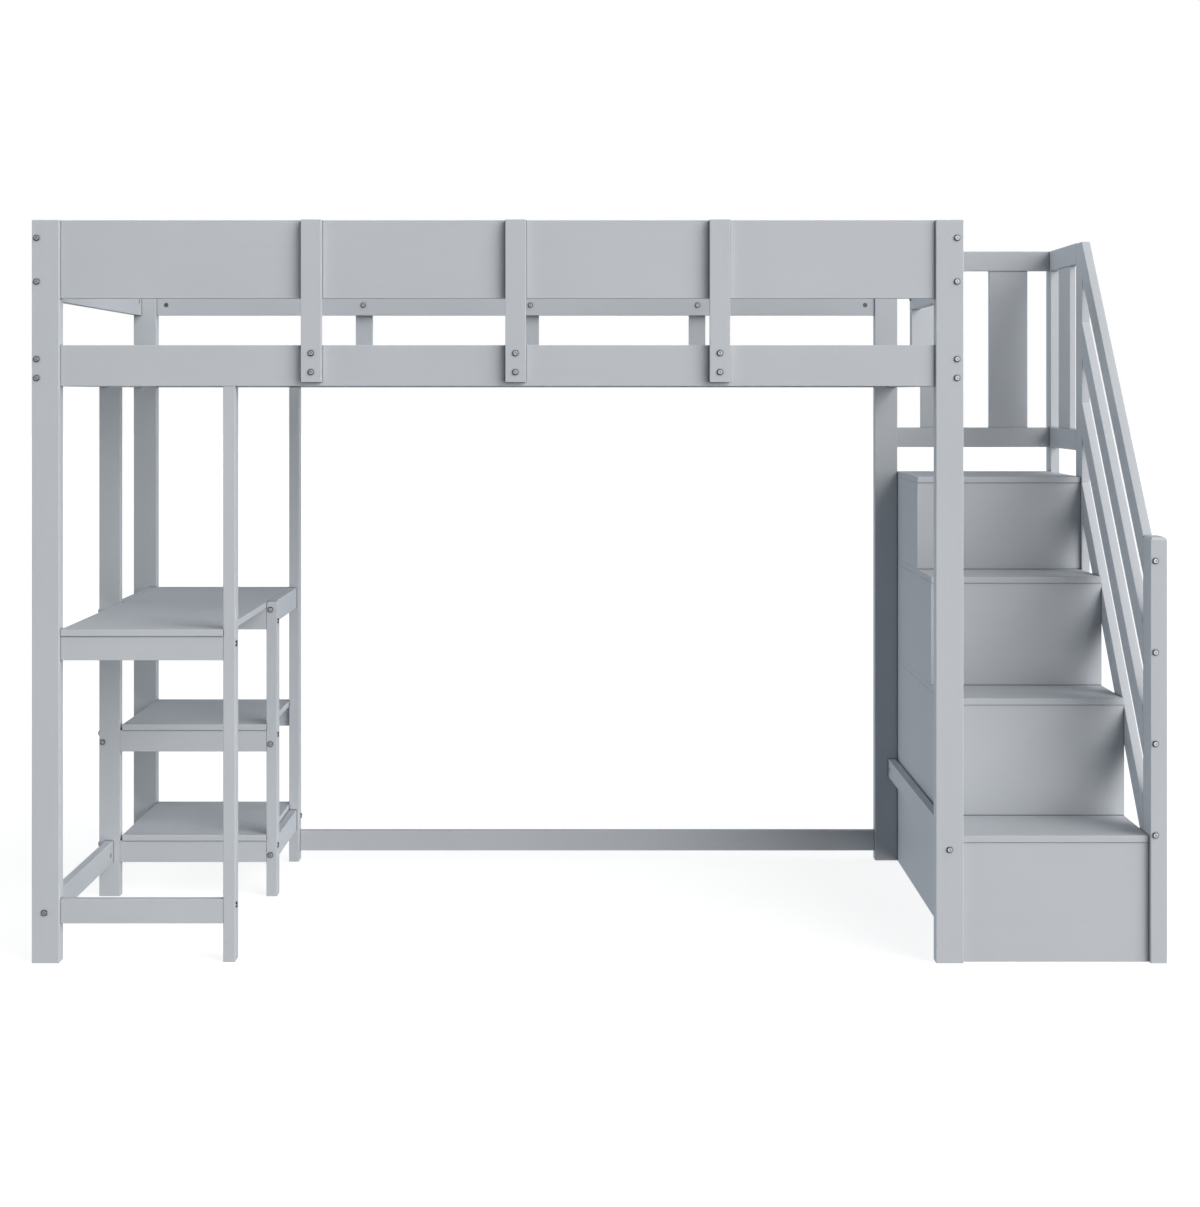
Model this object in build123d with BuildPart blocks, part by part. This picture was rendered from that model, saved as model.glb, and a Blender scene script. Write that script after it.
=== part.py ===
from build123d import *

import os

# A loft bed over a desk with two shelves, reached by a box staircase. All sizes are millimetres.
# The frame: +X runs along the bed towards the staircase, +Y from the open front to the back, +Z up.
# The origin is on the floor, under the middle of the whole object.
# Below, x is measured from the bed's left outer face and y from the front faces of the corner posts.

# ---- bed ----
bed_length = 2068.0
bed_depth = 1062.0
bed_height = 1650.0
post_width = 61.0
post_depth = 35.0
board_thickness = 20.0
board_setback = 10.0
guard_bottom = 1476.0
rail_bottom = 1281.0
rail_top = 1372.0
left_inset = 1.0
right_inset = 4.5
guard_slat_width = 45.0
guard_slat_bottom = 1290.0
guard_slat_first = 621.0
guard_slat_pitch = 453.0
guard_slat_count = 3
entry_post_front = 605.0
entry_post_depth = 33.0
bed_slat_count = 18
bed_slat_width = 70.0
bed_slat_thickness = 15.0
bed_slat_margin = 8.0
cleat_bottom = 1290.0
cleat_height = 40.0
cleat_screws = 5
floor_rail_bottom = 86.0
floor_rail_height = 54.0
rear_rail_bottom = 26.0
left_floor_rail_left = 18.0
right_floor_rail_bottom = 227.0
right_floor_rail_height = 48.0

# ---- desk and shelves ----
desk_leg_left = 423.0
desk_leg_width = 27.0
desk_leg_depth = 40.0
desk_middle = 622.0
desk_height = 740.0
desk_back = 1040.0
slab_thickness = 15.0
slab_overhang = 3.0
apron_height = 54.0
desk_post_left = 2.5
desk_post_width = 53.0
desk_post_depth = 25.0
upper_shelf_height = 433.0
lower_shelf_height = 155.0

# ---- staircase ----
stair_left = 2068.4
stair_right = 2483.4
stair_back = 1062.0
panel_thickness = 15.0
riser_faces = (13.0, 235.0, 455.0, 675.0)
tread_heights = (281.0, 554.0, 818.0, 1053.0)
nosing = 2.0
stair_post_width = 36.6
stair_post_depth = 67.0
stair_post_height = 946.0
bar_thickness = 20.6
bar_depth = 58.0
bar_pitch = 203.0
bar_count = 4
upper_post_front = 664.0
upper_post_depth = 66.0
upper_post_height = 1649.0
landing_post_front = 1029.0
landing_post_depth = 58.0
landing_post_width = 24.0
landing_rail_height = 53.0
landing_top_rail = 1597.0
landing_bottom_rail = 1119.0
landing_slat_width = 104.0
landing_slat_lefts = (2134.5, 2319.7)
side_slat_front = 810.0
side_slat_width = 133.0

# ---- hardware ----
head_radius = 6.5
head_height = 3.5
head_rounding = 2.2
socket_size = 2.4
socket_depth = 2.2
shank_radius = 3.0
hole_radius = 3.2
nut_radius = 6.0
nut_length = 12.0
nut_sink = 0.5
slot_width = 1.4
nut_distance = 26.0
past_nut = 8.0
short_length = 36.0
rail_screw_length = 20.0
blind_margin = 5.0
dowel_radius = 4.0
dowel_length = 30.0
dowel_chamfer = 1.0
fit_gap = 0.2
cut_margin = 0.1

# ---- heights of the bolts above the floor ----
guard_bolts = (1622.0, 1504.0)
rail_bolts = (1354.0, 1312.0)
end_guard_bolts = (1610.0, 1513.0)
end_rail_bolts = (1341.0, 1299.0)
entry_screws = (1622.0, 1504.0, 1354.0, 1306.0)
left_rail_bolt_front = 112.0
left_rail_bolt_back = 108.0
front_rail_bolt_left = 126.0
front_rail_bolt_right = 126.0
rear_rail_bolt = 52.0
right_rail_bolt = 251.0
desk_front_bolt_left = 698.0
desk_front_bolt_right = 708.0
middle_apron_bolts_left = (716.0, 409.0, 130.0)
middle_apron_bolts_right = (692.0, 406.0, 127.5)
right_apron_bolts = (721.0, 104.0)
left_apron_bolt = 700.0
left_apron_dowel = 713.0
rear_leg_bolt = 119.0
rear_apron_dowels_left = (690.0, 391.0, 114.0)
rear_apron_dowels_right = (704.0, 382.0)
riser_bolts = (60.0, 215.0)
divider_bolts = (340.0, 480.0, 880.0, 980.0)
back_panel_bolts = (60.0, 215.0, 880.0, 980.0)
bar_screw_low = 893.0
bar_screw_high = 1600.0

# ---- spare screws that hold no board, and where other hardware stands in from a board's edge ----
spare_screw_right = (2037.0, 252.0)
spare_screw_leg_height = 383.0
spare_screw_post_height = 388.0
spare_screw_post_inset = 8.5
left_apron_bolt_inset = 2.0
desk_post_dowel_inset = 9.0
cleat_screw_margin = 120.0
side_rail_bolt_rise = 12.0
slat_dowel_inset = 25.0
side_slat_dowel_inset = 30.0

# ---- edges ----
post_edge = 1.5
board_edge = 1.0
post_top_radius = 8.0
leg_top_radius = 4.0

# ---- worked out from the above ----
bed_left_inner = post_width
bed_right_inner = bed_length - post_width
rear_post_front = bed_depth - post_depth
front_board = (board_setback, board_setback + board_thickness)
rear_board = (bed_depth - front_board[1], bed_depth - board_setback)
left_board = (left_inset, left_inset + board_thickness)
right_board = (bed_length - right_inset - board_thickness, bed_length - right_inset)
desk_leg_right = desk_leg_left + desk_leg_width
desk_post_right = desk_post_left + desk_post_width
desk_post_back = desk_middle + desk_post_depth
middle_leg_back = desk_middle + desk_leg_depth
rear_leg_front = rear_board[1] - desk_leg_depth
overall_right = stair_right + stair_post_width
overall_back = landing_post_front + landing_post_depth
upper_post_back = upper_post_front + upper_post_depth
x_shift = -(overall_right + desk_post_left) / 2
y_shift = -(overall_back - board_setback) / 2

os.makedirs("parts", exist_ok=True)


def middle(span):
    """The middle of a (low, high) pair."""
    return (span[0] + span[1]) / 2


def world(x, y, z):
    """A point given in bed coordinates, in the object's own frame."""
    return (x + x_shift, y + y_shift, z)


def save(piece, name):
    """Label a finished piece and write it to its own file."""
    piece.part.label = name
    export_step(piece.part, "parts/" + name + ".step")


# ---------------------------------------------------------------- where the hardware goes

ways = {
    "+x": ((1, 0, 0), (0, 90, 0)),
    "-x": ((-1, 0, 0), (0, -90, 0)),
    "+y": ((0, 1, 0), (-90, 0, 0)),
    "-y": ((0, -1, 0), (90, 0, 0)),
    "+z": ((0, 0, 1), (0, 0, 0)),
}
opposite = {"+x": "-x", "-x": "+x", "+y": "-y", "-y": "+y"}

# Each list holds (start point, way, length) in bed coordinates.
bolt_list = []
nut_list = []
dowel_list = []


def along(point, way, distance):
    """The point a distance away from another."""
    step = ways[way][0]
    return tuple(value + distance * axis for value, axis in zip(point, step))


def screw(point, way, length):
    """A bolt with no nut: its head rests on the face at the point."""
    bolt_list.append((point, way, length))


def bolt(point, way, grip, nut_side, sunk=False, thickness=board_thickness):
    """A bolt into the end of a board, with the barrel nut that holds it.

    The grip is what the bolt passes before that board, and thickness is the board's own.
    The nut goes in from the board's face on nut_side. A sunk head is flush in a counterbore.
    """
    head = along(point, way, head_height) if sunk else point
    used = grip - head_height if sunk else grip
    bolt_list.append((head, way, used + nut_distance + past_nut))
    centre = along(point, way, grip + nut_distance)
    nut_face = along(centre, nut_side, thickness / 2)
    nut_list.append((nut_face, opposite[nut_side], nut_length))


def dowel(point, way):
    """A wooden pin centred on the point, half in each board."""
    dowel_list.append((along(point, way, -dowel_length / 2), way, dowel_length))


# Guards and rails between the corner posts, bolted through the posts' outer sides.
for board_y, nut_side in ((middle(front_board), "+y"), (middle(rear_board), "-y")):
    for z in guard_bolts + rail_bolts:
        bolt((0, board_y, z), "+x", post_width, nut_side, sunk=True)
        bolt((bed_length, board_y, z), "-x", post_width, nut_side, sunk=True)

# End guards and end rails, bolted through the front and back of the corner posts.
for z in end_guard_bolts + end_rail_bolts:
    bolt((middle(left_board), 0, z), "+y", post_depth, "+x")
    bolt((middle(left_board), bed_depth, z), "-y", post_depth, "+x")
    bolt((middle(right_board), 0, z), "+y", post_depth, "-x")
for z in end_rail_bolts:
    bolt((middle(right_board), bed_depth, z), "-y", post_depth, "-x")

# The right guard and right rail, screwed to the entry post from inside the bed.
entry_middle = entry_post_front + entry_post_depth / 2
for z in entry_screws:
    screw((right_board[0], entry_middle, z), "+x", short_length)

# Upright guard slats: screwed to the guards from inside the bed, and to the rails from outside.
for i in range(guard_slat_count):
    slat_x = guard_slat_first + i * guard_slat_pitch
    for z in rail_bolts:
        screw((slat_x, front_board[0] - board_thickness, z), "+y", short_length)
        screw((slat_x, rear_board[1] + board_thickness, z), "-y", short_length)
    for z in guard_bolts:
        screw((slat_x, front_board[1], z), "-y", short_length)
        screw((slat_x, rear_board[0], z), "+y", short_length)

# Cleats under the bed slats, screwed to the rails.
cleat_z = cleat_bottom + cleat_height / 2
cleat_screw_run = bed_right_inner - bed_left_inner - 2 * cleat_screw_margin
for i in range(cleat_screws):
    cleat_x = bed_left_inner + cleat_screw_margin + i * cleat_screw_run / (cleat_screws - 1)
    screw((cleat_x, front_board[1] + board_thickness, cleat_z), "-y", short_length)
    screw((cleat_x, rear_board[0] - board_thickness, cleat_z), "+y", short_length)

# Floor rails.
left_rail_x = left_floor_rail_left + board_thickness / 2
bolt((left_rail_x, 0, left_rail_bolt_front), "+y", post_depth, "+x")
bolt((left_rail_x, desk_post_back, left_rail_bolt_back), "-y", desk_post_depth, "+x")
screw((spare_screw_right[0], 0, spare_screw_right[1]), "+y", post_depth - blind_margin)
bolt((middle(right_board), bed_depth, right_rail_bolt), "-y", post_depth, "-x")
dowel((middle(right_board), post_depth, right_rail_bolt), "+y")
bolt((0, middle(front_board), front_rail_bolt_left), "+x", post_width, "+y", sunk=True)
bolt((desk_leg_right, middle(front_board), front_rail_bolt_right), "-x", desk_leg_width, "+y")
bolt((bed_length, middle(rear_board), rear_rail_bolt), "-x", post_width, "+y", sunk=True)
bolt((desk_leg_left, middle(rear_board), rear_rail_bolt), "+x", desk_leg_width, "+y", sunk=True)

# Desk aprons and shelf aprons.
bolt((0, middle(front_board), desk_front_bolt_left), "+x", post_width, "+y", sunk=True)
bolt((desk_leg_right, middle(front_board), desk_front_bolt_right), "-x", desk_leg_width, "+y")
middle_apron_y = desk_middle + board_thickness / 2
for z in middle_apron_bolts_right:
    bolt((desk_leg_right, middle_apron_y, z), "-x", desk_leg_width, "+y")
for z in middle_apron_bolts_left:
    bolt((desk_post_left, middle_apron_y, z), "+x", desk_post_width, "+y")
right_apron_x = desk_leg_left + board_thickness / 2
for z in right_apron_bolts:
    bolt((right_apron_x, desk_middle, z), "+y", desk_leg_depth, "-x")
    bolt((right_apron_x, rear_board[1], z), "-y", desk_leg_depth, "-x")
screw((right_apron_x, desk_middle, spare_screw_leg_height), "+y", desk_leg_depth - blind_margin)
spare_screw_x = desk_post_left + spare_screw_post_inset
screw((spare_screw_x, desk_middle, spare_screw_post_height), "+y", desk_post_depth - blind_margin)
left_apron_x = bed_left_inner - board_thickness / 2
left_apron_bolt_x = left_apron_x - left_apron_bolt_inset
bolt((left_apron_bolt_x, desk_middle, left_apron_bolt), "+y", desk_post_depth, "+x")
bolt((desk_leg_right, middle(rear_board), rear_leg_bolt), "-x", desk_leg_width, "+y")
dowel((left_apron_x, rear_post_front, left_apron_dowel), "+y")
rear_apron_y = desk_back - board_thickness / 2
rear_apron_ys = (rear_apron_y, middle(rear_board), middle(rear_board))
for apron_y, z in zip(rear_apron_ys, rear_apron_dowels_left):
    dowel((bed_left_inner, apron_y, z), "+x")
for apron_y, z in zip(rear_apron_ys, rear_apron_dowels_right):
    dowel((desk_leg_left, apron_y, z), "+x")

# Tall desk legs, pinned up into the bed rails.
leg_middle_x = desk_leg_left + desk_leg_width / 2
dowel((leg_middle_x, middle(front_board), rail_bottom), "+z")
dowel((leg_middle_x, middle(rear_board), rail_bottom), "+z")
dowel((desk_post_left + desk_post_dowel_inset, desk_middle + desk_post_depth / 2, rail_bottom), "+z")

# Handrail bars, screwed through the posts at both ends.
bar_x = stair_right + bar_thickness / 2
for i in range(bar_count):
    drop = i * bar_pitch
    screw((bar_x, 0, bar_screw_low - drop), "+y", stair_post_depth + rail_screw_length)
    screw((bar_x, upper_post_back, bar_screw_high - drop), "-y", upper_post_depth + rail_screw_length)

# Stair posts, bolted into the ends of the risers, the divider and the back panels.
panel_middle = panel_thickness / 2
for z in riser_bolts:
    bolt((overall_right, riser_faces[0] + panel_middle, z), "-x", stair_post_width, "+y",
         thickness=panel_thickness)
for z in divider_bolts:
    bolt((stair_right + bar_thickness, riser_faces[3] + panel_middle, z), "-x", bar_thickness, "+y",
         thickness=panel_thickness)
for z in back_panel_bolts:
    bolt((stair_right + landing_post_width, stair_back - panel_middle, z), "-x", landing_post_width,
         "-y", thickness=panel_thickness)

# Landing rails and their slats.
rear_rail = (stair_back - board_thickness, stair_back)
side_rail = (stair_right, stair_right + board_thickness)
top_middle = landing_top_rail + landing_rail_height / 2
bottom_middle = landing_bottom_rail + landing_rail_height / 2
for z in (top_middle, bottom_middle):
    bolt((stair_right + landing_post_width, middle(rear_rail), z), "-x", landing_post_width, "+y")
    bolt((middle(side_rail), overall_back, z + side_rail_bolt_rise), "-y", landing_post_depth, "+x")
    dowel((middle(side_rail), upper_post_back, z), "+y")
    dowel((bed_length, middle(rear_rail), z), "+x")
slat_span = (landing_bottom_rail + landing_rail_height, landing_top_rail)
for end_z in slat_span:
    for slat_left in landing_slat_lefts:
        for inset in (slat_dowel_inset, landing_slat_width - slat_dowel_inset):
            dowel((slat_left + inset, middle(rear_rail), end_z), "+z")
    for inset in (side_slat_dowel_inset, side_slat_width - side_slat_dowel_inset):
        dowel((middle(side_rail), side_slat_front + inset, end_z), "+z")


# ---------------------------------------------------------------- hardware solids

def places(entries, length):
    """The locations of the listed pieces that have this length."""
    return [Location(world(*point), ways[way][1]) for point, way, size in entries if size == length]


def lengths(entries):
    """The different lengths in a list, in order."""
    return sorted({size for point, way, size in entries})


def make_bolt(length):
    """A bolt that hangs from its head: a domed head with a hexagonal socket, then a plain shank."""
    with BuildPart() as piece:
        with BuildSketch(Plane.XY):
            Circle(head_radius)
        extrude(amount=-head_height)
        fillet(piece.faces().sort_by(Axis.Z)[0].edges(), head_rounding)
        with BuildSketch(Plane.XY.offset(-head_height)):
            RegularPolygon(socket_size, 6)
        extrude(amount=socket_depth, mode=Mode.SUBTRACT)
        with BuildSketch(Plane.XY):
            Circle(shank_radius)
        extrude(amount=length)
    return piece.part


def make_nut():
    """A barrel nut: a short round bar with a slot across its visible end."""
    with BuildPart() as piece:
        with BuildSketch(Plane.XY.offset(nut_sink)):
            Circle(nut_radius)
        extrude(amount=nut_length - nut_sink)
        with BuildSketch(Plane.XY.offset(nut_sink)):
            Rectangle(2 * nut_radius, slot_width)
        extrude(amount=slot_width, mode=Mode.SUBTRACT)
    return piece.part


def make_dowel():
    """A round wooden pin with chamfered ends."""
    with BuildPart() as piece:
        with BuildSketch(Plane.XY):
            Circle(dowel_radius)
        extrude(amount=dowel_length)
        chamfer(piece.edges().filter_by(GeomType.CIRCLE), dowel_chamfer)
    return piece.part


def make_pin(radius, start, length):
    """A plain round tool for drilling."""
    with BuildPart() as piece:
        with BuildSketch(Plane.XY.offset(start)):
            Circle(radius)
        extrude(amount=length)
    return piece.part


bolt_lengths = lengths(bolt_list)
shank_tools = {size: make_pin(hole_radius, -cut_margin, size + fit_gap) for size in bolt_lengths}
head_tool = make_pin(head_radius + fit_gap, -head_height - cut_margin, head_height + cut_margin)
nut_tool = make_pin(nut_radius + fit_gap, -cut_margin, nut_length + cut_margin + fit_gap)
dowel_tool = make_pin(dowel_radius + fit_gap, -fit_gap, dowel_length + 2 * fit_gap)


def reaches(entry, low, high):
    """Whether a piece of hardware passes into the box between two corners."""
    point, way, size = entry
    ends = (along(point, way, -head_height), along(point, way, size))
    for axis in range(3):
        near = min(ends[0][axis], ends[1][axis]) - nut_radius
        far = max(ends[0][axis], ends[1][axis]) + nut_radius
        if far <= low[axis] or near >= high[axis]:
            return False
    return True


def drill(x, y, z):
    """Cut the holes of all the hardware that passes through the box that is being built."""
    low = (x[0], y[0], z[0])
    high = (x[1], y[1], z[1])
    bolts_here = [entry for entry in bolt_list if reaches(entry, low, high)]
    for size in lengths(bolts_here):
        with Locations(*places(bolts_here, size)):
            add(shank_tools[size], mode=Mode.SUBTRACT)
            add(head_tool, mode=Mode.SUBTRACT)
    for entries, size, tool in ((nut_list, nut_length, nut_tool), (dowel_list, dowel_length, dowel_tool)):
        here = [entry for entry in entries if reaches(entry, low, high)]
        if here:
            with Locations(*places(here, size)):
                add(tool, mode=Mode.SUBTRACT)


def bar(x, y, z):
    """The plain stock of a board between two values of x, of y and of z."""
    with BuildSketch(Plane.XY.offset(z[0])) as outline:
        with Locations(world(middle(x), middle(y), 0)[:2]):
            Rectangle(x[1] - x[0], y[1] - y[0])
    extrude(outline.sketch, amount=z[1] - z[0])


def long_axis(x, y, z):
    """The axis that a board is longest along."""
    sizes = {Axis.X: x[1] - x[0], Axis.Y: y[1] - y[0], Axis.Z: z[1] - z[0]}
    return max(sizes, key=sizes.get)


def board(name, x, y, z):
    """A board whose ends meet other boards: only its long edges are eased."""
    with BuildPart() as piece:
        bar(x, y, z)
        fillet(piece.edges().filter_by(long_axis(x, y, z)), board_edge)
        drill(x, y, z)
    save(piece, name)


def slab(name, x, y, z, edge=board_edge):
    """A board or post with all its edges eased."""
    with BuildPart() as piece:
        bar(x, y, z)
        fillet(piece.edges(), edge)
        drill(x, y, z)
    save(piece, name)


def panels(name, boxes, edge=0.0):
    """Several separate boards that share one name."""
    with BuildPart() as piece:
        for x, y, z in boxes:
            bar(x, y, z)
        if edge:
            axis = long_axis(*boxes[0])
            fillet(piece.edges().filter_by(axis), edge)
        for x, y, z in boxes:
            drill(x, y, z)
    save(piece, name)


# ---------------------------------------------------------------- bed frame

left_post = (0, post_width)
right_post = (bed_length - post_width, bed_length)
front_post = (0, post_depth)
rear_post = (rear_post_front, bed_depth)
full_height = (0, bed_height)
guard_height = (guard_bottom, bed_height)
rail_height = (rail_bottom, rail_top)
between_posts = (bed_left_inner, bed_right_inner)
end_span = (post_depth, rear_post_front)

slab("front_left_post", left_post, front_post, full_height, post_edge)
slab("front_right_post", right_post, front_post, full_height, post_edge)
slab("rear_left_post", left_post, rear_post, full_height, post_edge)
slab("rear_right_post", right_post, rear_post, full_height, post_edge)

board("front_guard", between_posts, front_board, guard_height)
board("rear_guard", between_posts, rear_board, guard_height)
board("left_guard", left_board, end_span, guard_height)
board("front_bed_rail", between_posts, front_board, rail_height)
board("rear_bed_rail", between_posts, rear_board, rail_height)
board("left_bed_rail", left_board, end_span, rail_height)
board("right_bed_rail", right_board, end_span, rail_height)

entry_post_back = entry_post_front + entry_post_depth
entry_post = (right_board[0], right_board[0] + post_width)
board("right_guard", right_board, (post_depth, entry_post_back), guard_height)

# The entry post stands outside the right guard and rail, and is housed over both.
with BuildPart() as entry_post_piece:
    entry_depth = (entry_post_front, entry_post_back)
    entry_height = (rail_bottom, bed_height)
    bar(entry_post, entry_depth, entry_height)
    fillet(entry_post_piece.edges(), post_edge)
    for height in (guard_height, rail_height):
        with BuildSketch(Plane.XY.offset(height[0])):
            with Locations(world(middle(right_board), middle(entry_depth), 0)[:2]):
                Rectangle(board_thickness, entry_post_depth)
        extrude(amount=height[1] - height[0], mode=Mode.SUBTRACT)
    drill(entry_post, entry_depth, entry_height)
save(entry_post_piece, "entry_post")

slat_height = (guard_slat_bottom, bed_height)
slat_centres = [guard_slat_first + i * guard_slat_pitch for i in range(guard_slat_count)]
slat_spans = [(x - guard_slat_width / 2, x + guard_slat_width / 2) for x in slat_centres]
front_slat = (front_board[0] - board_thickness, front_board[0])
rear_slat = (rear_board[1], rear_board[1] + board_thickness)
panels("front_guard_slats", [(x, front_slat, slat_height) for x in slat_spans], board_edge)
panels("rear_guard_slats", [(x, rear_slat, slat_height) for x in slat_spans], board_edge)

cleat_top = cleat_bottom + cleat_height
front_cleat = (front_board[1], front_board[1] + board_thickness)
rear_cleat = (rear_board[0] - board_thickness, rear_board[0])
cleat_boxes = [(between_posts, y, (cleat_bottom, cleat_top)) for y in (front_cleat, rear_cleat)]
panels("slat_cleats", cleat_boxes, board_edge)

slat_run = bed_right_inner - bed_left_inner - 2 * bed_slat_margin - bed_slat_width
bed_slats = []
for i in range(bed_slat_count):
    slat_left = bed_left_inner + bed_slat_margin + i * slat_run / (bed_slat_count - 1)
    bed_slats.append(((slat_left, slat_left + bed_slat_width), (front_board[1], rear_board[0]),
                      (cleat_top, cleat_top + bed_slat_thickness)))
panels("bed_slats", bed_slats, board_edge)

floor_rail = (floor_rail_bottom, floor_rail_bottom + floor_rail_height)
left_rail = (left_floor_rail_left, left_floor_rail_left + board_thickness)
right_rail_height = (right_floor_rail_bottom, right_floor_rail_bottom + right_floor_rail_height)
board("front_floor_rail", (bed_left_inner, desk_leg_left), front_board, floor_rail)
board("left_floor_rail", left_rail, (post_depth, desk_middle), floor_rail)
board("right_floor_rail", right_board, end_span, right_rail_height)
board("rear_floor_rail", (desk_leg_right, bed_right_inner), rear_board,
      (rear_rail_bottom, rear_rail_bottom + floor_rail_height))

# ---------------------------------------------------------------- desk and shelves

leg = (desk_leg_left, desk_leg_right)
front_leg = (front_board[0], front_board[0] + desk_leg_depth)
middle_leg = (desk_middle, middle_leg_back)
rear_leg = (rear_leg_front, rear_board[1])
desk_post = (desk_post_left, desk_post_right)
desk_post_y = (desk_middle, desk_post_back)

slab("desk_front_leg", leg, front_leg, (0, rail_bottom), post_edge)
slab("desk_rear_leg", leg, rear_leg, (0, rail_bottom), post_edge)
slab("desk_left_post", desk_post, desk_post_y, (0, rail_bottom), post_edge)

with BuildPart() as desk_middle_leg:
    bar(leg, middle_leg, (0, desk_height))
    fillet(desk_middle_leg.edges().filter_by(Axis.Z), post_edge)
    fillet(desk_middle_leg.faces().sort_by(Axis.Z)[-1].edges().filter_by(Axis.Y), leg_top_radius)
    drill(leg, middle_leg, (0, desk_height))
save(desk_middle_leg, "desk_middle_leg")

slab_x = (bed_left_inner, desk_leg_left)
slab_bottom = desk_height - slab_thickness
apron_bottom = slab_bottom - apron_height
full_apron = (apron_bottom, slab_bottom)
side_apron = (desk_height - apron_height, desk_height)
middle_apron = (desk_middle, desk_middle + board_thickness)
slab("desk_top", slab_x, (front_board[0] - slab_overhang, desk_back), (slab_bottom, desk_height))
board("desk_front_apron", slab_x, front_board, full_apron)
board("desk_middle_apron", (desk_post_right, desk_leg_left), middle_apron, full_apron)
board("desk_rear_apron", slab_x, (desk_back - board_thickness, desk_back), full_apron)
right_apron = (desk_leg_left, desk_leg_left + board_thickness)
left_apron = (bed_left_inner - board_thickness, bed_left_inner)
board("desk_right_apron", right_apron, (middle_leg_back, rear_leg_front), side_apron)
board("desk_left_apron", left_apron, (desk_post_back, rear_post_front), side_apron)

for name, height in (("upper_shelf", upper_shelf_height), ("lower_shelf", lower_shelf_height)):
    under = height - slab_thickness
    apron_z = (under - apron_height, under)
    slab(name, slab_x, (desk_middle - slab_overhang, rear_board[1]), (under, height))
    aprons = [((desk_post_right, desk_leg_left), middle_apron, apron_z), (slab_x, rear_board, apron_z)]
    panels(name + "_aprons", aprons, board_edge)
lower_apron = (lower_shelf_height - slab_thickness - apron_height, lower_shelf_height - slab_thickness)
board("lower_shelf_rail", right_apron, (middle_leg_back, rear_leg_front), lower_apron)

# ---------------------------------------------------------------- staircase

stair_x = (stair_left, stair_right)
left_panel_x = (stair_left, stair_left + panel_thickness)
inside_x = (left_panel_x[1], stair_right)
levels = []
floor_of_level = 0.0
for i, (riser_face, tread_top) in enumerate(zip(riser_faces, tread_heights), start=1):
    level = (floor_of_level, tread_top - panel_thickness)
    levels.append((riser_face + panel_thickness, level))
    board("riser_%d" % i, stair_x, (riser_face, riser_face + panel_thickness), level)
    slab("tread_%d" % i, stair_x, (riser_face - nosing, stair_back), (level[1], tread_top))
    floor_of_level = tread_top

back_panel_y = (stair_back - panel_thickness, stair_back)
panels("stair_left_panels", [(left_panel_x, (start, stair_back), level) for start, level in levels])
panels("stair_back_panels", [(inside_x, back_panel_y, level) for start, level in levels])

# One upright divider under each of the two lower levels' treads keeps them from sagging.
divider_y = [(riser_faces[i + 2], riser_faces[i + 2] + panel_thickness) for i in range(2)]
panels("stair_dividers", [(inside_x, y, levels[i][1]) for i, y in enumerate(divider_y)])

stair_post = (stair_right, stair_right + stair_post_width)
stair_post_y = (0, stair_post_depth)
with BuildPart() as lower_stair_post:
    bar(stair_post, stair_post_y, (0, stair_post_height))
    fillet(lower_stair_post.edges().filter_by(Axis.Z), post_edge)
    fillet(lower_stair_post.faces().sort_by(Axis.Z)[-1].edges().filter_by(Axis.Y), post_top_radius)
    drill(stair_post, stair_post_y, (0, stair_post_height))
save(lower_stair_post, "lower_stair_post")

bar_span = (stair_right, stair_right + bar_thickness)
slab("upper_stair_post", bar_span, (upper_post_front, upper_post_back), (0, upper_post_height), post_edge)
landing_post = (stair_right, stair_right + landing_post_width)
slab("landing_post", landing_post, (landing_post_front, overall_back), full_height, post_edge)

# Each handrail bar is a sloping board with plumb ends that meet the two posts.
rise = upper_post_height - stair_post_height
run = upper_post_front - stair_post_depth
plumb_depth = bar_depth * (rise ** 2 + run ** 2) ** 0.5 / run
side_plane = Plane(origin=world(stair_right, 0, 0), x_dir=(0, 1, 0), z_dir=(1, 0, 0))
for i in range(bar_count):
    low_end = stair_post_height - i * bar_pitch
    high_end = upper_post_height - i * bar_pitch
    with BuildPart() as handrail_bar:
        with BuildSketch(side_plane):
            with BuildLine():
                Polyline((stair_post_depth, low_end), (upper_post_front, high_end),
                         (upper_post_front, high_end - plumb_depth),
                         (stair_post_depth, low_end - plumb_depth), close=True)
            make_face()
        extrude(amount=bar_thickness)
        ends = handrail_bar.edges().filter_by(Axis.X) + handrail_bar.edges().filter_by(Axis.Z)
        sloping = [edge for edge in handrail_bar.edges() if edge not in ends]
        fillet(sloping, board_edge)
        drill(bar_span, (stair_post_depth, upper_post_front), (low_end - plumb_depth, high_end))
    save(handrail_bar, "handrail_bar_%d" % (i + 1))

rail_heights = [(low, low + landing_rail_height) for low in (landing_bottom_rail, landing_top_rail)]
panels("landing_rear_rails", [((bed_length, stair_right), rear_rail, z) for z in rail_heights], board_edge)
side_run = (upper_post_back, landing_post_front)
panels("landing_side_rails", [(side_rail, side_run, z) for z in rail_heights], board_edge)

landing_slats = []
for left in landing_slat_lefts:
    slat_y = (middle(rear_rail) - panel_thickness / 2, middle(rear_rail) + panel_thickness / 2)
    landing_slats.append(((left, left + landing_slat_width), slat_y, slat_span))
side_slat_x = (middle(side_rail) - panel_thickness / 2, middle(side_rail) + panel_thickness / 2)
landing_slats.append((side_slat_x, (side_slat_front, side_slat_front + side_slat_width), slat_span))
panels("landing_slats", landing_slats, board_edge)

# ---------------------------------------------------------------- hardware

with BuildPart() as bolts:
    for size in bolt_lengths:
        with Locations(*places(bolt_list, size)):
            add(make_bolt(size))
save(bolts, "bolts")

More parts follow.
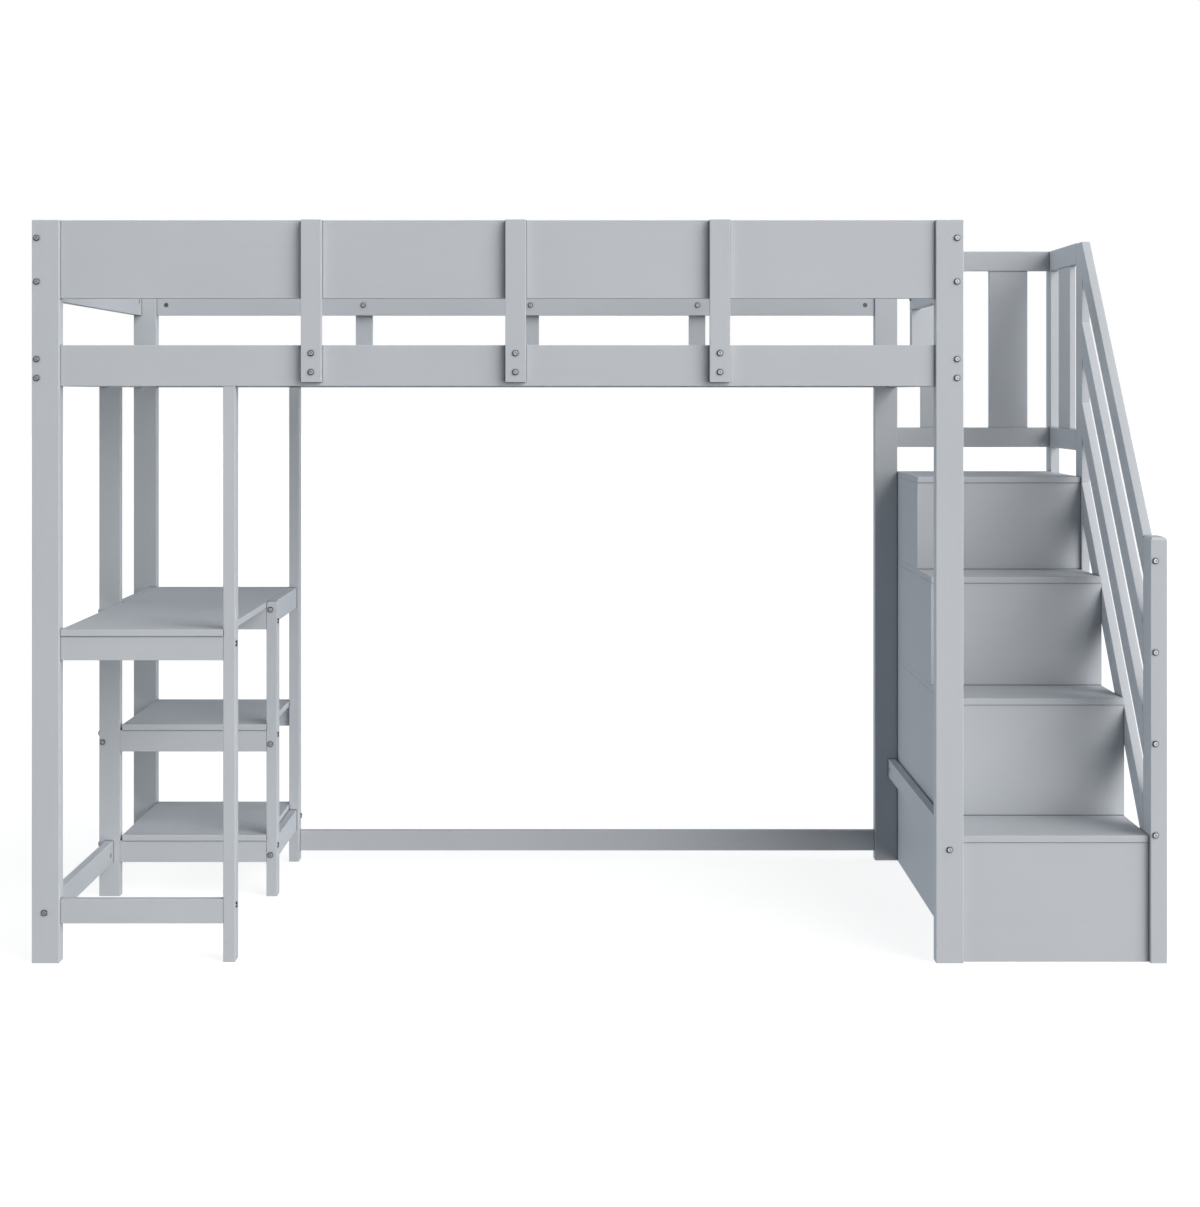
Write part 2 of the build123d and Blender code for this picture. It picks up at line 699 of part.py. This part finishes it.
with BuildPart() as barrel_nuts:
    with Locations(*places(nut_list, nut_length)):
        add(make_nut())
    for size in bolt_lengths:
        with Locations(*places(bolt_list, size)):
            add(shank_tools[size], mode=Mode.SUBTRACT)
save(barrel_nuts, "barrel_nuts")

with BuildPart() as dowels:
    with Locations(*places(dowel_list, dowel_length)):
        add(make_dowel())
save(dowels, "dowels")
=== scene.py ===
import math

import bpy
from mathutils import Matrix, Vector


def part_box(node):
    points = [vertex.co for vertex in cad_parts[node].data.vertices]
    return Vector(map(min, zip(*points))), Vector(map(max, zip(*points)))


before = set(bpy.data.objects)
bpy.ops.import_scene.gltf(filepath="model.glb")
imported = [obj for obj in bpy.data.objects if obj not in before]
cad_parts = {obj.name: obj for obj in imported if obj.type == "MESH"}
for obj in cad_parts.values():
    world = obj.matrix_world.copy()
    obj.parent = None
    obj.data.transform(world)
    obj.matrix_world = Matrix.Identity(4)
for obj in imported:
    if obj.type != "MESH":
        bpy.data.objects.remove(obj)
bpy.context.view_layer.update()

# Colours are linear RGB, lengths are metres, and angles are degrees.

PAINT_LIGHT = (0.480, 0.500, 0.524, 1)
PAINT_DARK = (0.458, 0.478, 0.502, 1)
# A painted highlight on the eased edges of the boards.
PAINT_EDGE_HIGHLIGHT = (0.510, 0.528, 0.550, 1)
# Painted shade for the seam where boards meet.
PAINT_SEAM_SHADE = (0.130, 0.142, 0.158, 1)
ZINC_LIGHT = (0.700, 0.695, 0.680, 1)
ZINC_DARK = (0.460, 0.460, 0.450, 1)
NUT_LIGHT = (0.260, 0.258, 0.252, 1)
NUT_DARK = (0.120, 0.120, 0.118, 1)
# Painted shade on the rounds and rims of bolts and nuts.
ZINC_RIM_SHADE = (0.012, 0.012, 0.013, 1)
BEECH_LIGHT = (0.560, 0.370, 0.210, 1)
BEECH_DARK = (0.400, 0.240, 0.120, 1)

GRAIN_ALONG = 5.0
GRAIN_ACROSS = 170.0
PATCH_SCALE = 2.2
PEEL_SCALE = 420.0
# Reach, samples and occlusion range of the painted seam shade.
SEAM_SHADE_REACH = 0.004
SEAM_SHADE_SAMPLES = 4
SEAM_SHADE_CLOSED = 0.5
SEAM_SHADE_OPEN = 0.98

# How much of a board's tone is grain, against broad patches.
GRAIN_SHARE = 0.35
PATCH_SHARE = 0.65

# Roughness of the paint, and how much glossier its eased edges are.
PAINT_SMOOTH = 0.44
PAINT_ROUGH = 0.56
EDGE_GLOSS = 0.06

# Each pair is the strength and the depth of a bump.
GRAIN_BUMP = (0.06, 0.0006)
PEEL_BUMP = (0.05, 0.0004)
SCUFF_BUMP = (0.15, 0.0002)
FLECK_BUMP = (0.2, 0.0003)

CRYSTAL_SCALE = 260.0
SCUFF_SCALE = 1400.0
FLECK_SCALE = 600.0
BOLT_ROUGHNESS = 0.50
NUT_ROUGHNESS = 0.40
BEECH_SMOOTH = 0.55
BEECH_ROUGH = 0.7

# The largest part of a unit normal, on an eased edge and on a flat face.
EDGE_NORMAL = 0.86
FLAT_NORMAL = 0.99

# Nodes that hold several boards, with the direction in which each of their boards is long.
BOARD_SETS = {
    "front_guard_slats": "z",
    "rear_guard_slats": "z",
    "landing_slats": "z",
    "slat_cleats": "x",
    "bed_slats": "y",
    "stair_left_panels": "y",
    "stair_dividers": "y",
    "stair_back_panels": "x",
    "landing_rear_rails": "x",
    "landing_side_rails": "y",
    "upper_shelf_aprons": "x",
    "lower_shelf_aprons": "x",
}


def new_material(name):
    """A new material, its node tree and its principled shader."""
    material = bpy.data.materials.new(name)
    material.use_nodes = True
    tree = material.node_tree
    return material, tree, tree.nodes["Principled BSDF"]


def add(tree, kind, **settings):
    """A new node with its settings and, where a name is one of its inputs, its input values."""
    node = tree.nodes.new(kind)
    for key, value in settings.items():
        if key in node.inputs:
            node.inputs[key].default_value = value
        else:
            setattr(node, key, value)
    return node


def noise(tree, vector, scale, detail, roughness=0.5):
    """The grey value of a noise texture."""
    node = add(tree, "ShaderNodeTexNoise", Scale=scale, Detail=detail, Roughness=roughness)
    tree.links.new(vector, node.inputs["Vector"])
    return node.outputs["Fac"]


def spread(tree, value, low, high, to_low, to_high):
    """Value remapped from one range to another, and held inside it."""
    node = add(tree, "ShaderNodeMapRange")
    node.inputs["From Min"].default_value = low
    node.inputs["From Max"].default_value = high
    node.inputs["To Min"].default_value = to_low
    node.inputs["To Max"].default_value = to_high
    tree.links.new(value, node.inputs["Value"])
    return node.outputs["Result"]


def maths(tree, operation, first, second):
    """One arithmetic step on two values, each a socket or a number."""
    node = add(tree, "ShaderNodeMath", operation=operation)
    for index, value in enumerate((first, second)):
        if isinstance(value, (int, float)):
            node.inputs[index].default_value = value
        else:
            tree.links.new(value, node.inputs[index])
    return node.outputs[0]


def blend(tree, factor, first, second):
    """A colour between two colours, each a socket or a constant."""
    node = add(tree, "ShaderNodeMix", data_type="RGBA")
    tree.links.new(factor, node.inputs[0])
    for index, value in ((6, first), (7, second)):
        if isinstance(value, tuple):
            node.inputs[index].default_value = value
        else:
            tree.links.new(value, node.inputs[index])
    return node.outputs[2]


def bump(tree, height, strength, distance, under=None):
    """A normal raised by a height map, laid over another bump where one is given."""
    node = add(tree, "ShaderNodeBump", Strength=strength, Distance=distance)
    tree.links.new(height, node.inputs["Height"])
    if under is not None:
        tree.links.new(under, node.inputs["Normal"])
    return node.outputs["Normal"]


def turned(tree, vector, kind, tilt):
    """A vector turned about X into the frame of a sloping board."""
    node = add(tree, "ShaderNodeMapping", vector_type=kind)
    node.inputs["Rotation"].default_value = (tilt, 0, 0)
    tree.links.new(vector, node.inputs["Vector"])
    return node.outputs["Vector"]


def board_edges(tree, tilt):
    """1 on the eased edges of a board, and 0 on its faces, whose normals lie along an axis."""
    normal = add(tree, "ShaderNodeNewGeometry").outputs["True Normal"]
    if tilt:
        normal = turned(tree, normal, "NORMAL", tilt)
    size = add(tree, "ShaderNodeVectorMath", operation="ABSOLUTE")
    tree.links.new(normal, size.inputs[0])
    parts = add(tree, "ShaderNodeSeparateXYZ")
    tree.links.new(size.outputs[0], parts.inputs[0])
    widest = maths(tree, "MAXIMUM", parts.outputs["X"], parts.outputs["Y"])
    widest = maths(tree, "MAXIMUM", widest, parts.outputs["Z"])
    return spread(tree, widest, EDGE_NORMAL, FLAT_NORMAL, 1.0, 0.0)


def painted_seam_shade(tree):
    """Painted seam shade: 1 where a board meets another, and 0 at the seam reach away."""
    seam_occlusion = add(tree, "ShaderNodeAmbientOcclusion", samples=SEAM_SHADE_SAMPLES, Distance=SEAM_SHADE_REACH)
    return spread(tree, seam_occlusion.outputs["AO"], SEAM_SHADE_CLOSED, SEAM_SHADE_OPEN, 1.0, 0.0)


def painted_wood(name, along, tilt=0.0):
    """Satin grey paint on wood: grain that shows through, fine peel, a painted highlight on the edges
    and painted shade where boards meet.
    """
    material, tree, shader = new_material(name)
    place = add(tree, "ShaderNodeTexCoord").outputs["Object"]
    if tilt:
        place = turned(tree, place, "POINT", tilt)
    stretch = add(tree, "ShaderNodeMapping")
    scales = [GRAIN_ACROSS] * 3
    scales["xyz".index(along)] = GRAIN_ALONG
    stretch.inputs["Scale"].default_value = scales
    tree.links.new(place, stretch.inputs["Vector"])
    grain = noise(tree, stretch.outputs["Vector"], 1.0, 6.0, 0.62)
    patch = noise(tree, place, PATCH_SCALE, 3.0)
    peel = noise(tree, place, PEEL_SCALE, 2.0)
    edges = board_edges(tree, tilt)

    tone = maths(tree, "MULTIPLY", grain, GRAIN_SHARE)
    tone = maths(tree, "ADD", tone, maths(tree, "MULTIPLY", patch, PATCH_SHARE))
    tone = spread(tree, tone, 0.38, 0.62, 0.0, 1.0)
    colour = blend(tree, tone, PAINT_DARK, PAINT_LIGHT)
    # A painted highlight on the eased edges.
    painted_edge_highlight = maths(tree, "MULTIPLY", edges, spread(tree, patch, 0.3, 0.7, 0.55, 1.0))
    colour = blend(tree, painted_edge_highlight, colour, PAINT_EDGE_HIGHLIGHT)
    # Painted shade where boards meet.
    colour = blend(tree, painted_seam_shade(tree), colour, PAINT_SEAM_SHADE)
    tree.links.new(colour, shader.inputs["Base Color"])

    sheen = maths(tree, "MULTIPLY", grain, 0.5)
    sheen = maths(tree, "ADD", sheen, maths(tree, "MULTIPLY", patch, 0.5))
    sheen = spread(tree, sheen, 0.35, 0.65, PAINT_SMOOTH, PAINT_ROUGH)
    tree.links.new(maths(tree, "SUBTRACT", sheen, maths(tree, "MULTIPLY", edges, EDGE_GLOSS)),
                   shader.inputs["Roughness"])
    raised = bump(tree, grain, *GRAIN_BUMP)
    tree.links.new(bump(tree, peel, *PEEL_BUMP, under=raised), shader.inputs["Normal"])
    return material


def zinc(name, roughness, dark, light):
    """Zinc-plated steel: crystal patches and dull scuffs on its flats, and painted shade on its rounds
    and rims.
    """
    material, tree, shader = new_material(name)
    place = add(tree, "ShaderNodeTexCoord").outputs["Object"]
    patch = noise(tree, place, CRYSTAL_SCALE, 4.0, 0.6)
    scuff = noise(tree, place, SCUFF_SCALE, 3.0, 0.7)
    colour = blend(tree, spread(tree, patch, 0.35, 0.65, 0.0, 1.0), dark, light)
    # Painted shade on the rounds and rims.
    colour = blend(tree, board_edges(tree, 0.0), colour, ZINC_RIM_SHADE)
    tree.links.new(colour, shader.inputs["Base Color"])
    shader.inputs["Metallic"].default_value = 1.0
    tree.links.new(spread(tree, scuff, 0.3, 0.7, roughness - 0.08, roughness + 0.12),
                   shader.inputs["Roughness"])
    tree.links.new(bump(tree, scuff, *SCUFF_BUMP), shader.inputs["Normal"])
    return material


def beech(name):
    """Bare beech dowels with short darker flecks."""
    material, tree, shader = new_material(name)
    place = add(tree, "ShaderNodeTexCoord").outputs["Object"]
    fleck = noise(tree, place, FLECK_SCALE, 4.0, 0.6)
    colour = blend(tree, spread(tree, fleck, 0.35, 0.65, 0.0, 1.0), BEECH_DARK, BEECH_LIGHT)
    tree.links.new(colour, shader.inputs["Base Color"])
    tree.links.new(spread(tree, fleck, 0.3, 0.7, BEECH_ROUGH, BEECH_SMOOTH), shader.inputs["Roughness"])
    tree.links.new(bump(tree, fleck, *FLECK_BUMP), shader.inputs["Normal"])
    return material


def long_side(name):
    """The axis along which a board is longest."""
    if name in BOARD_SETS:
        return BOARD_SETS[name]
    low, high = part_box(name)
    lengths = list(high - low)
    return "xyz"[lengths.index(max(lengths))]


def handrail_tilt():
    """The slope of the handrail bars, from the rise and the run of one bar's box."""
    low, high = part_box("handrail_bar_1")
    return math.atan2(high.z - low.z, high.y - low.y)


def paint_boards():
    """Gives each CAD node the finish of its slot, with the grain along its boards."""
    grains = {axis: painted_wood("painted_wood_" + axis, axis) for axis in "xyz"}
    sloping = painted_wood("painted_wood_slope", "y", -handrail_tilt())
    metals = {"bolt_steel": zinc("bolt_zinc", BOLT_ROUGHNESS, ZINC_DARK, ZINC_LIGHT),
              "nut_steel": zinc("nut_zinc", NUT_ROUGHNESS, NUT_DARK, NUT_LIGHT)}
    dowel = beech("dowel_beech")
    for name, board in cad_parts.items():
        for slot in board.material_slots:
            kind = slot.material.name
            if kind in metals:
                slot.material = metals[kind]
            elif kind == "dowel_wood":
                slot.material = dowel
            elif name.startswith("handrail_bar"):
                slot.material = sloping
            else:
                slot.material = grains[long_side(name)]


FLOOR_REACH = 60.0
FLOOR_GREY = 0.26
FLOOR_GLOW = 0.84


def floor():
    """A plain pale floor that glows, takes a faint shadow and throws no light back."""
    mesh = bpy.data.meshes.new("floor")
    corners = [(x * FLOOR_REACH, y * FLOOR_REACH, 0) for x, y in ((-1, -1), (1, -1), (1, 1), (-1, 1))]
    mesh.from_pydata(corners, [], [(0, 1, 2, 3)])
    plane = bpy.data.objects.new("floor", mesh)
    bpy.context.scene.collection.objects.link(plane)
    material, _, shader = new_material("floor_pale")
    shader.inputs["Base Color"].default_value = (FLOOR_GREY, FLOOR_GREY, FLOOR_GREY, 1)
    shader.inputs["Roughness"].default_value = 0.9
    shader.inputs["Specular IOR Level"].default_value = 0.0
    shader.inputs["Emission Color"].default_value = (1, 1, 1, 1)
    shader.inputs["Emission Strength"].default_value = FLOOR_GLOW
    mesh.materials.append(material)
    plane.visible_diffuse = False
    plane.visible_glossy = False
    plane.visible_shadow = False


KEY_TINT = (1.0, 1.0, 1.0)
SHADE_TINT = (0.92, 1.0, 1.09)

# The soft lamps: azimuth from the front towards the right, height, spread, tint, and the brightness
# that a white card facing the lamp would have.
LAMPS = {
    "key_low": (42.0, 6.0, 70.0, KEY_TINT, 0.775),
    "key_mid": (46.0, 28.0, 44.0, KEY_TINT, 0.361),
    "key_high": (66.0, 52.0, 44.0, KEY_TINT, 0.352),
    "right_back": (120.0, 10.0, 44.0, SHADE_TINT, 0.334),
    "left_low": (-90.0, 6.0, 44.0, SHADE_TINT, 0.285),
    "left_high": (-90.0, 52.0, 40.0, KEY_TINT, 0.142),
    "back_bounce": (178.0, -52.0, 44.0, KEY_TINT, 0.26),
}

# How bright the dome is towards the left, the back and the ground.
DOME_LEFT = 0.41
DOME_BACK = 0.26
DOME_GROUND = 0.02


def lamp(name, azimuth, height, width, tint, level):
    """A wide soft lamp far outside the stage."""
    light = bpy.data.lights.new(name, "SUN")
    light.energy = level * math.pi
    light.angle = math.radians(width)
    light.color = tint
    holder = bpy.data.objects.new(name, light)
    bpy.context.scene.collection.objects.link(holder)
    a, e = math.radians(azimuth), math.radians(height)
    towards = Vector((math.sin(a) * math.cos(e), -math.cos(a) * math.cos(e), math.sin(e)))
    holder.rotation_mode = "QUATERNION"
    holder.rotation_quaternion = towards.to_track_quat("Z", "Y")


def surroundings():
    """A white backdrop, and a dome that glows from the left, the back and the pale ground."""
    world = bpy.data.worlds.new("studio")
    bpy.context.scene.world = world
    world.use_nodes = True
    tree = world.node_tree
    direction = add(tree, "ShaderNodeTexCoord").outputs["Generated"]
    parts = add(tree, "ShaderNodeSeparateXYZ")
    tree.links.new(direction, parts.inputs[0])
    left = spread(tree, parts.outputs["X"], -1.0, 0.0, DOME_LEFT, 0.0)
    back = spread(tree, parts.outputs["Y"], 0.0, 1.0, 0.0, DOME_BACK)
    ground = spread(tree, parts.outputs["Z"], -1.0, 0.0, DOME_GROUND, 0.0)
    glow = maths(tree, "ADD", maths(tree, "ADD", left, back), ground)
    tint = add(tree, "ShaderNodeVectorMath", operation="SCALE")
    tint.inputs[0].default_value = SHADE_TINT
    tree.links.new(glow, tint.inputs["Scale"])
    dome = tree.nodes["Background"]
    tree.links.new(tint.outputs[0], dome.inputs["Color"])
    backdrop = add(tree, "ShaderNodeBackground", Color=(1, 1, 1, 1))
    seen = add(tree, "ShaderNodeLightPath").outputs["Is Camera Ray"]
    choice = add(tree, "ShaderNodeMixShader")
    tree.links.new(seen, choice.inputs[0])
    tree.links.new(dome.outputs[0], choice.inputs[1])
    tree.links.new(backdrop.outputs[0], choice.inputs[2])
    tree.links.new(choice.outputs[0], tree.nodes["World Output"].inputs["Surface"])


CAMERA_PLACE = (-0.00675, -5.2025, 1.265)
CAMERA_LENS = 62.69
CAMERA_SHIFT = (0.0025, -0.17415)


def camera():
    """An eye level with the bed's underside, looking straight along +Y."""
    lens = bpy.data.cameras.new("camera")
    lens.sensor_width = 36.0
    lens.lens = CAMERA_LENS
    lens.shift_x, lens.shift_y = CAMERA_SHIFT
    lens.clip_end = 200.0
    eye = bpy.data.objects.new("camera", lens)
    eye.location = CAMERA_PLACE
    eye.rotation_euler = (math.radians(90), 0, 0)
    bpy.context.scene.collection.objects.link(eye)
    bpy.context.scene.camera = eye


paint_boards()
floor()
for name, settings in LAMPS.items():
    lamp(name, *settings)
surroundings()
camera()
bpy.context.scene.view_settings.view_transform = "Standard"
